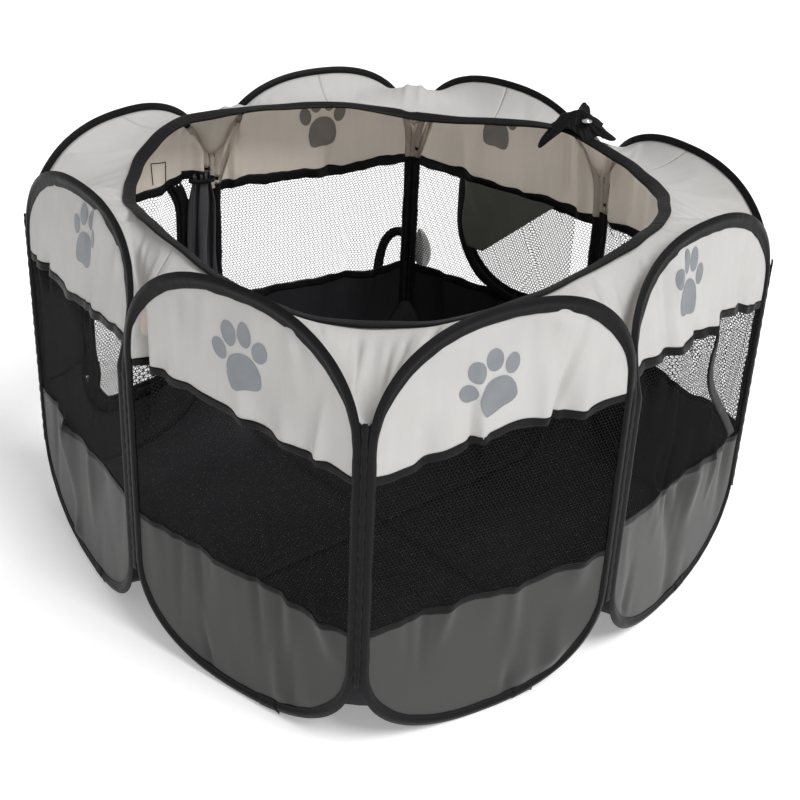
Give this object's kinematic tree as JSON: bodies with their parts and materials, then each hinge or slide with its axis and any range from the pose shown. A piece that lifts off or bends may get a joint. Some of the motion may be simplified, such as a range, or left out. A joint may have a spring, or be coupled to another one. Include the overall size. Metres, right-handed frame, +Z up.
{
  "type": "pet playpen",
  "caption": "Fold-up octagonal fabric pet playpen with spring-wire hoop walls, mesh windows, zipped doors, a fabric roof border and an open top.",
  "frame": {"origin": "centre of the footprint, on the ground", "axes": "+Z up; -Y towards the sharp corner between the two front walls; +X towards the right corner"},
  "size_m": [1.0438, 1.0548, 0.59],
  "materials": {
    "steel": "satin",
    "binding": "woven polyester binding tape",
    "mesh": "open knitted mesh",
    "light_oxford": "coated oxford weave",
    "dark_oxford": "coated oxford weave",
    "black_oxford": "coated oxford weave",
    "label": "satin label",
    "nickel": "polished"
  },
  "bodies": {
    "left_front_wall": {"left_front_hoop_wire": "steel", "left_front_sleeve": "binding", "left_front_upper_band": "light_oxford", "left_front_roof_border": "light_oxford", "left_front_mesh_window": "mesh", "left_front_lower_band": "dark_oxford"},
    "front_left_wall": {"front_left_hoop_wire": "steel", "front_left_sleeve": "binding", "front_left_upper_band": "light_oxford", "front_left_roof_border": "light_oxford", "front_left_mesh_window": "mesh", "front_left_lower_band": "dark_oxford", "floor_panel": "black_oxford", "rim_binding": "binding"},
    "front_right_wall": {"front_right_hoop_wire": "steel", "front_right_sleeve": "binding", "front_right_upper_band": "light_oxford", "front_right_roof_border": "light_oxford", "front_right_mesh_window": "mesh", "front_right_lower_band": "dark_oxford"},
    "right_front_wall": {"right_front_hoop_wire": "steel", "right_front_sleeve": "binding", "right_front_upper_band": "light_oxford", "right_front_roof_border": "light_oxford", "right_front_mesh_window": "mesh", "right_front_lower_band": "dark_oxford"},
    "right_rear_wall": {"right_rear_hoop_wire": "steel", "right_rear_sleeve": "binding", "right_rear_upper_band": "light_oxford", "right_rear_roof_border": "light_oxford", "right_rear_mesh_window": "mesh", "right_rear_lower_band": "dark_oxford"},
    "rear_right_wall": {"rear_right_hoop_wire": "steel", "rear_right_sleeve": "binding", "rear_right_upper_band": "light_oxford", "rear_right_roof_border": "light_oxford", "rear_right_mesh_window": "mesh", "rear_right_lower_band": "dark_oxford", "corner_strap": "binding", "carry_handle": "binding"},
    "rear_left_wall": {"rear_left_hoop_wire": "steel", "rear_left_sleeve": "binding", "rear_left_upper_band": "light_oxford", "rear_left_roof_border": "light_oxford", "rear_left_mesh_window": "mesh", "rear_left_lower_band": "dark_oxford"},
    "left_rear_wall": {"left_rear_hoop_wire": "steel", "left_rear_sleeve": "binding", "left_rear_upper_band": "light_oxford", "left_rear_roof_border": "light_oxford", "left_rear_mesh_window": "mesh", "left_rear_lower_band": "dark_oxford", "side_door_curtain": "dark_oxford"},
    "side_door": {"side_door_leaf": "mesh"},
    "rear_door": {"rear_door_leaf": "mesh", "rear_door_curtain": "dark_oxford"},
    "side_door_slider": {"side_door_zip_pull": "nickel"},
    "rear_door_slider": {"rear_door_zip_pull": "nickel"},
    "snap": {"snap_button": "nickel"},
    "tag": {"handle_tag": "label"}
  },
  "joints": [
    {"name": "fold_front_corner", "type": "hinge", "parent": "front_left_wall", "child": "front_right_wall", "pos_m": [0, -0.52246, 0.3], "axis": [0, 0, 1], "range_deg": [-22, 70], "deforming": ["left_front_roof_border", "front_left_roof_border", "front_right_roof_border", "right_front_roof_border", "right_rear_roof_border", "rear_right_roof_border", "rear_left_roof_border", "left_rear_roof_border", "rim_binding", "floor_panel", "corner_strap"]},
    {"name": "fold_front_right_corner", "type": "hinge", "parent": "front_right_wall", "child": "right_front_wall", "pos_m": [0.31438, -0.31438, 0.3], "axis": [0, 0, 1], "range_deg": [-70, 22]},
    {"name": "fold_right_corner", "type": "hinge", "parent": "right_front_wall", "child": "right_rear_wall", "pos_m": [0.52246, 0, 0.3], "axis": [0, 0, 1], "range_deg": [-22, 70]},
    {"name": "fold_rear_right_corner", "type": "hinge", "parent": "right_rear_wall", "child": "rear_right_wall", "pos_m": [0.31438, 0.31438, 0.3], "axis": [0, 0, 1], "range_deg": [-70, 22]},
    {"name": "fold_rear_corner", "type": "hinge", "parent": "rear_right_wall", "child": "rear_left_wall", "pos_m": [0, 0.52246, 0.3], "axis": [0, 0, 1], "range_deg": [-22, 70]},
    {"name": "fold_rear_left_corner", "type": "hinge", "parent": "rear_left_wall", "child": "left_rear_wall", "pos_m": [-0.31438, 0.31438, 0.3], "axis": [0, 0, 1], "range_deg": [-70, 22]},
    {"name": "fold_left_corner", "type": "hinge", "parent": "left_rear_wall", "child": "left_front_wall", "pos_m": [-0.52246, 0, 0.3], "axis": [0, 0, 1], "range_deg": [-22, 70]},
    {"name": "side_door_swing", "type": "hinge", "parent": "left_rear_wall", "child": "side_door", "pos_m": [-0.35307, 0.25844, 0.3], "axis": [0, 0, 1], "range_deg": [-110, 0]},
    {"name": "rear_door_swing", "type": "hinge", "parent": "rear_right_wall", "child": "rear_door", "pos_m": [0.27679, 0.34093, 0.3], "axis": [0, 0, 1], "range_deg": [-110, 0]},
    {"name": "side_door_zip", "type": "slide", "parent": "left_rear_wall", "child": "side_door_slider", "axis": [0, 0, 1], "range_m": [0, 0.17]},
    {"name": "rear_door_zip", "type": "slide", "parent": "rear_right_wall", "child": "rear_door_slider", "axis": [0, 0, 1], "range_m": [0, 0.025]},
    {"name": "snap_release", "type": "slide", "parent": "rear_right_wall", "child": "snap", "axis": [0, 0, 1], "range_m": [0, 0.006]},
    {"name": "tag_flip", "type": "hinge", "parent": "rear_right_wall", "child": "tag", "pos_m": [0, 0.53285, 0.196], "axis": [1, 0, 0], "range_deg": [-60, 0]}
  ],
  "couplings": [
    {"joint": "fold_front_right_corner", "follows": "fold_front_corner", "ratio": -1},
    {"joint": "fold_right_corner", "follows": "fold_front_corner", "ratio": 1},
    {"joint": "fold_rear_right_corner", "follows": "fold_front_corner", "ratio": -1},
    {"joint": "fold_rear_corner", "follows": "fold_front_corner", "ratio": 1},
    {"joint": "fold_rear_left_corner", "follows": "fold_front_corner", "ratio": -1},
    {"joint": "fold_left_corner", "follows": "fold_front_corner", "ratio": 1}
  ]
}
